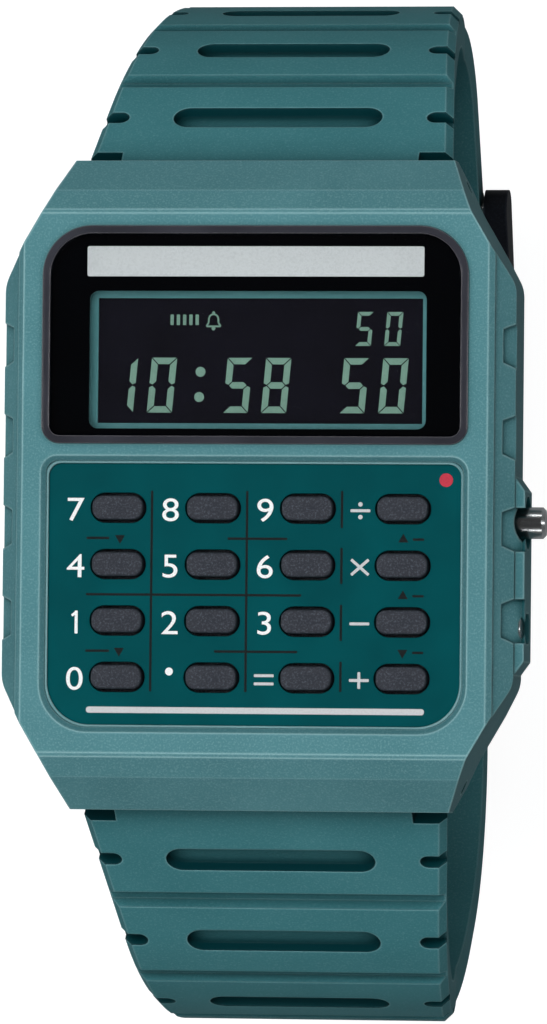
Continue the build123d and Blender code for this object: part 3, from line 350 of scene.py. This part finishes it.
def choose(piece, kind, wanted):
    """In edit mode, selects the faces, edges or vertices that wanted(element) picks."""
    bpy.ops.object.mode_set(mode="EDIT")
    bpy.ops.mesh.select_mode(type=kind)
    bpy.ops.mesh.select_all(action="DESELECT")
    bpy.ops.object.mode_set(mode="OBJECT")
    mesh = piece.data
    elements = {"VERT": mesh.vertices, "EDGE": mesh.edges, "FACE": mesh.polygons}[kind]
    for element in elements:
        element.select = wanted(element)
    bpy.ops.object.mode_set(mode="EDIT")


def thicken(height):
    """In edit mode, raises the whole flat outline by a height in millimetres and leaves edit mode."""
    bpy.ops.mesh.select_all(action="SELECT")
    bpy.ops.mesh.extrude_region_move(TRANSFORM_OT_translate={"value": (0, 0, height * MM)})
    bpy.ops.mesh.select_all(action="SELECT")
    bpy.ops.mesh.normals_make_consistent(inside=False)
    bpy.ops.object.mode_set(mode="OBJECT")


def settle(piece, name, finish):
    """Applies the piece's place to its mesh, names it and gives it its finish."""
    deselect()
    piece.select_set(True)
    bpy.context.view_layer.objects.active = piece
    bpy.ops.object.transform_apply(location=True, rotation=True, scale=True)
    piece.name = name
    piece.data.name = name
    piece.data.materials.clear()
    piece.data.materials.append(finish)
    return piece


def copied(piece, name, matrix):
    """A copy with its own mesh, moved by a matrix."""
    twin = piece.copy()
    twin.data = piece.data.copy()
    twin.data.transform(matrix)
    twin.name = name
    twin.data.name = name
    bpy.context.scene.collection.objects.link(twin)
    return twin


# Keys: a rounded cap on the flange that holds it under the panel

key_low, key_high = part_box("key_7")
key_middle = (key_low + key_high) / 2
key_size = key_high - key_low
cap_length, cap_width, cap_corner, cap_edge = 3.36 * MM, 1.58 * MM, 0.64 * MM, 0.16 * MM
flange_height = 0.5 * MM


def model_key():
    """Models the key at the place of the first one: the cap, its corners and top edge, then the flange."""
    deselect()
    bpy.ops.mesh.primitive_cube_add(size=1, location=key_middle)
    piece = bpy.context.object
    piece.scale = (cap_length, cap_width, key_size.z)
    bpy.ops.object.transform_apply(location=False, rotation=False, scale=True)
    choose(piece, "EDGE", lambda e: abs(piece.data.vertices[e.vertices[0]].co.z
                                        - piece.data.vertices[e.vertices[1]].co.z) > key_size.z / 2)
    bpy.ops.mesh.bevel(offset=cap_corner, segments=8, affect="EDGES")
    bpy.ops.object.mode_set(mode="OBJECT")
    choose(piece, "FACE", lambda f: f.normal.z > 0.9)
    bpy.ops.mesh.bevel(offset=cap_edge, segments=5, affect="EDGES")
    bpy.ops.object.mode_set(mode="OBJECT")
    choose(piece, "FACE", lambda f: f.normal.z < -0.9)
    bpy.ops.mesh.extrude_region_move(TRANSFORM_OT_translate={"value": (0, 0, 0)})
    grow_x, grow_y = key_size.x / cap_length, key_size.y / cap_width
    bpy.ops.transform.resize(value=(grow_x, grow_y, 1), center_override=key_middle)
    bpy.ops.mesh.extrude_region_move(TRANSFORM_OT_translate={"value": (0, 0, flange_height)})
    bpy.ops.object.mode_set(mode="OBJECT")
    return piece


first_key = settle(model_key(), "key_cap", finishes["key_plastic"])
bpy.ops.object.shade_smooth_by_angle(angle=radians(40))
key_names = [name for name in sorted(nodes) if name.startswith("key_") and name != "key_sheet"]
for name in key_names:
    low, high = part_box(name)
    cap = copied(first_key, name + "_cap", Matrix.Translation((low + high) / 2 - key_middle))
    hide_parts(name)
    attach(cap, name)
bpy.data.objects.remove(first_key)


# Patches of ink, from which the printing on the panel and under the glass is made, all in millimetres

ink = 0.03
# Patches that cross stand a hair or a few apart in height, so that their faces don't share a plane
hair = 0.001


def plate(low_x, high_x, low_y, high_y, level, rounded=0.0):
    """A flat patch of ink between two corners, its outer corners rounded, one film of ink thick."""
    deselect()
    middle = Vector((low_x + high_x, low_y + high_y, 2 * level)) / 2
    bpy.ops.mesh.primitive_plane_add(size=1, location=middle * MM)
    piece = bpy.context.object
    piece.scale = ((high_x - low_x) * MM, (high_y - low_y) * MM, 1)
    bpy.ops.object.transform_apply(location=False, rotation=False, scale=True)
    bpy.ops.object.mode_set(mode="EDIT")
    bpy.ops.mesh.select_all(action="SELECT")
    if rounded:
        bpy.ops.mesh.bevel(offset=rounded * MM, segments=5, affect="VERTICES")
    thicken(ink)
    return piece


def disc(x, y, radius, level, sides=32, turned=0.0):
    """A round, or with three sides a triangular, patch of ink."""
    deselect()
    bpy.ops.mesh.primitive_circle_add(vertices=sides, radius=radius * MM, fill_type="NGON",
                                      location=(x * MM, y * MM, level * MM), rotation=(0, 0, turned))
    piece = bpy.context.object
    bpy.ops.object.mode_set(mode="EDIT")
    thicken(ink)
    return piece


def stroke(start, end, width, level):
    """A straight stroke of ink from one point to another, its ends a little rounded."""
    run = Vector(end) - Vector(start)
    middle = (Vector(start) + Vector(end)) / 2
    piece = plate(-run.length / 2, run.length / 2, -width / 2, width / 2, level, width / 4)
    piece.rotation_euler = (0, 0, run.to_2d().angle_signed(Vector((1, 0))))
    piece.location = (middle.x * MM, middle.y * MM, piece.location.z)
    bpy.ops.object.transform_apply(location=True, rotation=True, scale=True)
    return piece


def figure(text, x, y, height, level, widened=1.16):
    """A numeral in a plain upright face, a little widened and centred on a point, as a film of ink."""
    deselect()
    bpy.ops.object.text_add()
    piece = bpy.context.object
    piece.data.body = text
    piece.data.resolution_u = 8
    bpy.ops.object.convert(target="MESH")
    bpy.ops.object.mode_set(mode="EDIT")
    bpy.ops.mesh.select_all(action="SELECT")
    bpy.ops.mesh.remove_doubles(threshold=0.0005)
    bpy.ops.object.mode_set(mode="OBJECT")
    across = [v.co.x for v in piece.data.vertices]
    upward = [v.co.y for v in piece.data.vertices]
    scale = height * MM / (max(upward) - min(upward))
    middle = ((max(across) + min(across)) / 2, (max(upward) + min(upward)) / 2)
    piece.data.transform(Matrix.Translation((x * MM, y * MM, level * MM))
                         @ Matrix.Diagonal((scale * widened, scale, scale, 1))
                         @ Matrix.Translation((-middle[0], -middle[1], 0)))
    bpy.ops.object.mode_set(mode="EDIT")
    thicken(ink)
    return piece


def printed(pieces, name, finish, body="case"):
    """Joins patches of ink into one piece that rides on a body."""
    deselect()
    for patch in pieces:
        patch.select_set(True)
    bpy.context.view_layer.objects.active = pieces[0]
    if len(pieces) > 1:
        bpy.ops.object.join()
    piece = settle(pieces[0], name, finish)
    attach(piece, body)


# Printing on the keypad panel, by the keys' own columns and rows, each film sunk a third into the panel

panel_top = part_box("keypad_panel")[1].z / MM
print_level = panel_top - ink / 3
top_keys, left_keys = ("key_7", "key_8", "key_9", "key_divide"), ("key_7", "key_4", "key_1", "key_0")
columns = [(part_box(key)[0].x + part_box(key)[1].x) / 2 / MM for key in top_keys]
rows = [(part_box(key)[0].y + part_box(key)[1].y) / 2 / MM for key in left_keys]
print_shift, print_drop = 2.84, 0.12
print_columns = [column - print_shift for column in columns]
print_rows = [row - print_drop for row in rows]

# White numerals to the left of their keys
numeral_height = 1.52
numerals = []
for row, figures in enumerate(("789", "456", " 23", "0")):
    for column, value in enumerate(figures):
        if value != " ":
            x, y = print_columns[column], print_rows[row]
            numerals.append(figure(value, x, y, numeral_height, print_level))

# The 1, of a stem and a short flag, and the point
stem_width, flag_width, point_radius, point_rise = 0.2, 0.17, 0.26, 0.5
one_x, one_y = print_columns[0] + 0.08, print_rows[2]
one_low, one_high = one_y - numeral_height / 2, one_y + numeral_height / 2
flag_high, flag_low = (one_x + 0.03, one_high - 0.08), (one_x - 0.3, one_y + 0.42)
numerals.append(stroke((one_x, one_low), (one_x, one_high), stem_width, print_level))
numerals.append(stroke(flag_high, flag_low, flag_width, print_level + 2 * hair))
numerals.append(disc(print_columns[1], print_rows[3] + point_rise, point_radius, print_level))
printed(numerals, "white_numerals", white_ink)

# Silver signs: divide, times, minus and plus in the last column, equals beside it, and the bar under the keys
divide_y, times_y, minus_y, plus_y = print_rows
sign_x, equals_x = print_columns[3], print_columns[2]
half, tall, thick = 0.66, 0.55, 0.19
times_half, times_tall = half * 0.88, tall * 0.92
divide_rise, divide_dot, equals_rise = 0.42, 0.15, 0.27
signs = [disc(sign_x, divide_y + side * divide_rise, divide_dot, print_level, 24) for side in (-1, 1)]
for y in (divide_y, minus_y, plus_y):
    signs.append(stroke((sign_x - half, y), (sign_x + half, y), thick, print_level))
for side in (-1, 1):
    start = (sign_x - times_half, times_y - side * times_tall)
    end = (sign_x + times_half, times_y + side * times_tall)
    signs.append(stroke(start, end, thick, print_level + side * hair))
signs.append(stroke((sign_x, plus_y - tall), (sign_x, plus_y + tall), thick, print_level + 2 * hair))
for side in (-1, 1):
    level_y = plus_y + side * equals_rise
    signs.append(stroke((equals_x - half, level_y), (equals_x + half, level_y), thick, print_level))
bar_left, bar_right, bar_low, bar_high, bar_corner = -11.14, 11.39, -15.21, -14.8, 0.18
signs.append(plate(bar_left, bar_right, bar_low, bar_high, print_level, bar_corner))
printed(signs, "silver_signs", silver_ink)

# Dark lines: two long uprights between the keys, a short one before each sign key, and runs between the rows
line_width = 0.15
long_places, long_top, long_foot = (-6.86, -0.5), -0.5, -13.77
short_x = 5.82
short_runs = ((-0.47, -2.91), (-4.23, -6.6), (-7.98, -10.35), (-11.73, -13.71))
between_rows = [(upper + lower) / 2 - 0.14 for upper, lower in zip(rows, rows[1:])]
level_runs = (((-11.22, -9.7), (-1.78, 2.2), (10.55, 11.3)),
              ((-11.22, 3.16), (10.55, 11.3)),
              ((-11.22, -9.64), (-2.61, 2.93), (10.58, 11.3)))
lines = [stroke((x, long_top), (x, long_foot), line_width, print_level) for x in long_places]
lines += [stroke((short_x, top), (short_x, foot), line_width, print_level) for top, foot in short_runs]
for y, runs in zip(between_rows, level_runs):
    lines += [stroke((start, y), (end, y), line_width, print_level + 2 * hair) for start, end in runs]

# The small triangles at the ends of those runs, which point up, or down where they are turned
triangle_radius, left_x, right_x = 0.38, -8.98, 9.92
triangles = ((left_x, 0, pi), (left_x, 2, pi), (right_x, 0, 0.0), (right_x, 1, 0.0), (right_x, 2, pi))
for x, row, turned in triangles:
    lines.append(disc(x, between_rows[row], triangle_radius, print_level, 3, turned))
printed(lines, "keypad_lines", line_ink)

# The red marker dot in the panel's upper right corner
dot_x, dot_y, dot_radius = 12.73, 0.28, 0.45
printed([disc(dot_x, dot_y, dot_radius, print_level, 40)], "red_marker_dot", red_ink)


# Printing under the glass: the bare silver strip across the top of the window

mask_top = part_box("display_mask")[1].z / MM
band_left, band_right, band_low, band_high, band_corner = -11.38, 11.12, 13.70, 15.70, 0.14
band = plate(band_left, band_right, band_low, band_high, mask_top - ink / 3, band_corner)
printed([band], "silver_strip", silver_ink)


# Figures of the display, each of up to seven mitred bars that lean a little

digit_bars = {"0": "abcdef", "1": "bc", "5": "acdfg", "8": "abcdefg"}
slant = 0.09
display_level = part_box("display_cell")[1].z / MM - ink / 3


def bar_outlines(w, h, t):
    """The corners of the seven bars of a figure of half width w and half height h, with bars t wide."""
    top = [(-w, h), (w, h), (w - t, h - t), (t - w, h - t)]
    upper = [(w, h), (w - t, h - t), (w - t, t / 2), (w - t / 2, 0), (w, t / 4)]
    middle = [(t / 2 - w, 0), (t - w, t / 2), (w - t, t / 2),
              (w - t / 2, 0), (w - t, -t / 2), (t - w, -t / 2)]

    def mirrored(points, across, upward):
        return [(across * x, upward * y) for x, y in points]
    return {"a": top, "b": upper, "c": mirrored(upper, 1, -1), "d": mirrored(top, 1, -1),
            "e": mirrored(upper, -1, -1), "f": mirrored(upper, -1, 1), "g": middle}


def digit_figure(value, x, y, width, height, thick, gap=0.035):
    """A figure of mitred bars centred on a point, with a thin dark gap between one bar and the next."""
    bars = []
    outlines = bar_outlines(width / 2, height / 2, thick)
    for bar in digit_bars[value]:
        corners = outlines[bar]
        deselect()
        bpy.ops.mesh.primitive_circle_add(vertices=len(corners), radius=1, fill_type="NGON")
        sliver = bpy.context.object
        for vertex, (across, upward) in zip(sliver.data.vertices, corners):
            vertex.co = ((x + across + upward * slant) * MM, (y + upward) * MM, display_level * MM)
        bpy.ops.object.mode_set(mode="EDIT")
        bpy.ops.mesh.select_all(action="SELECT")
        bpy.ops.mesh.inset(thickness=gap * MM, depth=0)
        bpy.ops.mesh.select_all(action="INVERT")
        bpy.ops.mesh.delete(type="FACE")
        thicken(ink)
        bars.append(sliver)
    return bars


# The time, its colon, and the two small figures above it, which stand where the day would
time_y, time_width, time_height, time_bar = 6.56, 1.76, 3.72, 0.5
day_y, day_width, day_height, day_bar, day_gap = 10.32, 1.12, 2.3, 0.3, 0.025
colon_radius = 0.33
shown = []
for value, x in (("1", -9.15), ("0", -6.53), ("5", -1.45), ("8", 1.12), ("5", 6.34), ("0", 8.95)):
    shown += digit_figure(value, x, time_y, time_width, time_height, time_bar)
for x, y in ((-3.95, 7.45), (-4.03, 5.78)):
    shown.append(disc(x, y, colon_radius, display_level, 24))
for value, x in (("5", 6.98), ("0", 8.94)):
    shown += digit_figure(value, x, day_y, day_width, day_height, day_bar, day_gap)

# A row of five marks
mark_left, mark_width, mark_pitch, mark_low, mark_high, mark_corner = -6.0, 0.22, 0.42, 10.55, 11.25, 0.05
for step in range(5):
    left = mark_left + step * mark_pitch
    shown.append(plate(left, left + mark_width, mark_low, mark_high, display_level, mark_corner))

# A plain bell beside the marks: its outline in short strokes, a knob and a clapper
bell_x, bell_y, bell_line = -3.11, 10.9, 0.11
knob_rise, knob_radius, clapper_drop, clapper_radius = 0.47, 0.1, 0.57, 0.13
half_bell = [(0.0, 0.38), (0.2, 0.32), (0.31, 0.14), (0.33, -0.2), (0.48, -0.43), (0.0, -0.43)]
for side in (-1, 1):
    path = [(bell_x + side * across, bell_y + upward) for across, upward in half_bell]
    for step, (start, end) in enumerate(zip(path, path[1:])):
        raised = 0.7 * hair * (step + (side + 1) * 3)
        shown.append(stroke(start, end, bell_line, display_level + raised))
shown.append(disc(bell_x, bell_y + knob_rise, knob_radius, display_level - hair, 12))
shown.append(disc(bell_x, bell_y - clapper_drop, clapper_radius, display_level - hair, 12))
printed(shown, "display_figures", lit_segment)


# Keypad bead: the thin rounded rim that runs round the sunk panel, with wider corners at its foot

recess_length, recess_width, recess_y = 28.5, 18.3, -7.35
bead_gap, bead_width, bead_height, bead_round = 0.25, 0.26, 0.25, 0.1
bead_top_corner, bead_foot_corner = 1.1, 3.1
deselect()
bpy.ops.mesh.primitive_plane_add(size=1, location=(0, recess_y * MM, panel_top * MM))
bead = bpy.context.object
bead.scale = ((recess_length - 2 * bead_gap) * MM, (recess_width - 2 * bead_gap) * MM, 1)
bpy.ops.object.transform_apply(location=True, rotation=False, scale=True)
choose(bead, "VERT", lambda v: v.co.y > recess_y * MM)
bpy.ops.mesh.bevel(offset=bead_top_corner * MM, segments=12, affect="VERTICES")
bpy.ops.object.mode_set(mode="OBJECT")
choose(bead, "VERT", lambda v: v.co.y < recess_y * MM)
bpy.ops.mesh.bevel(offset=bead_foot_corner * MM, segments=16, affect="VERTICES")
bpy.ops.mesh.select_mode(type="FACE")
bpy.ops.mesh.select_all(action="SELECT")
bpy.ops.mesh.inset(thickness=bead_width * MM, depth=0)
bpy.ops.mesh.delete(type="FACE")
thicken(bead_height)
rounded_top = bead.modifiers.new("rounded_top", "BEVEL")
rounded_top.width, rounded_top.segments, rounded_top.angle_limit = bead_round * MM, 4, radians(60)
bpy.ops.object.modifier_apply(modifier="rounded_top")
bpy.ops.object.shade_smooth_by_angle(angle=radians(40))
settle(bead, "keypad_bead", finishes["case_resin"])
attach(bead, "case")


# Studio floor: pale paper, low enough for the straps to swing above it, and clear from beneath. The camera
# sees it lit up to white, straight or through the glass, but the watch doesn't.

floor_drop, paper_lift = 25 * MM, 0.9
deselect()
floor_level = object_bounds()[0][2] - floor_drop
bpy.ops.mesh.primitive_plane_add(size=4.0, location=(0, 0, floor_level))
floor = bpy.context.object
floor.name = "studio_floor"
paper, tree, _ = new_finish("studio_paper_white")
paths = add(tree, "LightPath").outputs
seen = add(tree, "Math", {0: paths["Is Camera Ray"], 1: paths["Is Transmission Ray"]}, operation="MAXIMUM")
lift = add(tree, "Math", {0: seen.outputs[0], 1: paper_lift}, operation="MULTIPLY")
sheet = add(tree, "BsdfPrincipled", {"Base Color": linear("#8c8e8f"), "Roughness": 0.9,
                                     "Specular IOR Level": 0.0, "Emission Color": linear("#ffffff"),
                                     "Emission Strength": lift.outputs[0]})
under = add(tree, "BsdfTransparent")
behind = add(tree, "NewGeometry").outputs["Backfacing"]
floor_mix = add(tree, "MixShader", {0: behind, 1: sheet.outputs[0], 2: under.outputs[0]})
add(tree, "OutputMaterial", {"Surface": floor_mix.outputs[0]})
floor.data.materials.append(paper)

# Room: a dim ceiling above a paler wall, which light the watch, and plain white for the camera's own eye
wall_top, wall_glow = 0.55, 0.13
ceiling_foot, ceiling_glow = 0.93, 0.03
world = bpy.data.worlds.new("studio_room")
bpy.context.scene.world = world
world.use_nodes = True
tree = world.node_tree
tree.nodes.clear()
direction = add(tree, "TexCoord").outputs["Generated"]
height = add(tree, "SeparateXYZ", {0: direction}).outputs["Z"]
room = add(tree, "ValToRGB", {"Fac": height})
for stop, place, glow in zip(room.color_ramp.elements, (wall_top, ceiling_foot), (wall_glow, ceiling_glow)):
    stop.position = place
    stop.color = (glow, glow, glow, 1)
lit = add(tree, "Background", {"Color": room.outputs["Color"], "Strength": 1.0})
white = add(tree, "Background", {"Color": (1, 1, 1, 1), "Strength": 1.0})
camera_ray = add(tree, "LightPath").outputs["Is Camera Ray"]
room_mix = add(tree, "MixShader", {0: camera_ray, 1: lit.outputs[0], 2: white.outputs[0]})
add(tree, "OutputWorld", {"Surface": room_mix.outputs[0]})


def softbox(name, place, width, height, power, shines=True, lights=True):
    """A soft lamp that looks at the watch. One behind a polarising sheet lights without a shine, and a thin
    strip only shines."""
    lamp = bpy.data.lights.new(name, "AREA")
    lamp.shape = "RECTANGLE"
    lamp.size, lamp.size_y, lamp.energy = width, height, power
    holder = bpy.data.objects.new(name, lamp)
    holder.visible_diffuse = lights
    holder.visible_glossy = shines
    holder.visible_transmission = shines
    bpy.context.scene.collection.objects.link(holder)
    turned = Vector(place).to_track_quat("Z", "Y")
    holder.matrix_world = Matrix.Translation(place) @ turned.to_matrix().to_4x4()


# Four lamps stand round the camera, so that the face is the brightest and each slope falls off
softbox("softbox_top", (-0.05, 0.2, 0.8), 0.5, 0.25, 3.6, shines=False)
softbox("softbox_foot", (-0.05, -0.22, 0.8), 0.5, 0.25, 2.95, shines=False)
softbox("softbox_left", (-0.45, 0.05, 0.7), 0.25, 0.5, 0.4)
softbox("softbox_right", (0.5, 0.1, 0.66), 0.2, 0.4, 0.38)

# Four strips lower down draw the bright lines along edges and metal
softbox("strip_left", (-0.62, 0.0, 0.42), 0.07, 0.9, 1.1, lights=False)
softbox("strip_right", (0.62, 0.0, 0.42), 0.07, 0.9, 1.1, lights=False)
softbox("strip_top", (0.0, 0.62, 0.42), 0.9, 0.07, 0.9, lights=False)
softbox("strip_foot", (0.0, -0.62, 0.42), 0.9, 0.07, 0.8, lights=False)

# Camera: nearly square on to the face, a little from the right and below, and far off with a long lens for
# the photograph's flat look
yaw, pitch, roll = radians(8.3), radians(1.9), radians(0.564)
aim, distance = Vector((0.00016, -0.00162, 0.0)), 0.62
back = Vector((sin(yaw) * cos(pitch), -sin(pitch), cos(yaw) * cos(pitch)))
level_right = Vector((0, 1, 0)).cross(back).normalized()
level_up = back.cross(level_right)
right = level_right * cos(roll) + level_up * sin(roll)
up = level_up * cos(roll) - level_right * sin(roll)
camera = bpy.data.objects.new("camera", bpy.data.cameras.new("camera"))
bpy.context.scene.collection.objects.link(camera)
turn = Matrix((right, up, back)).transposed().to_4x4()
camera.matrix_world = Matrix.Translation(aim + back * distance) @ turn
camera.data.lens = 326.3
camera.data.sensor_width = 36.0
camera.data.clip_start, camera.data.clip_end = 0.01, 20.0
bpy.context.scene.camera = camera
bpy.context.scene.view_settings.view_transform = "Standard"
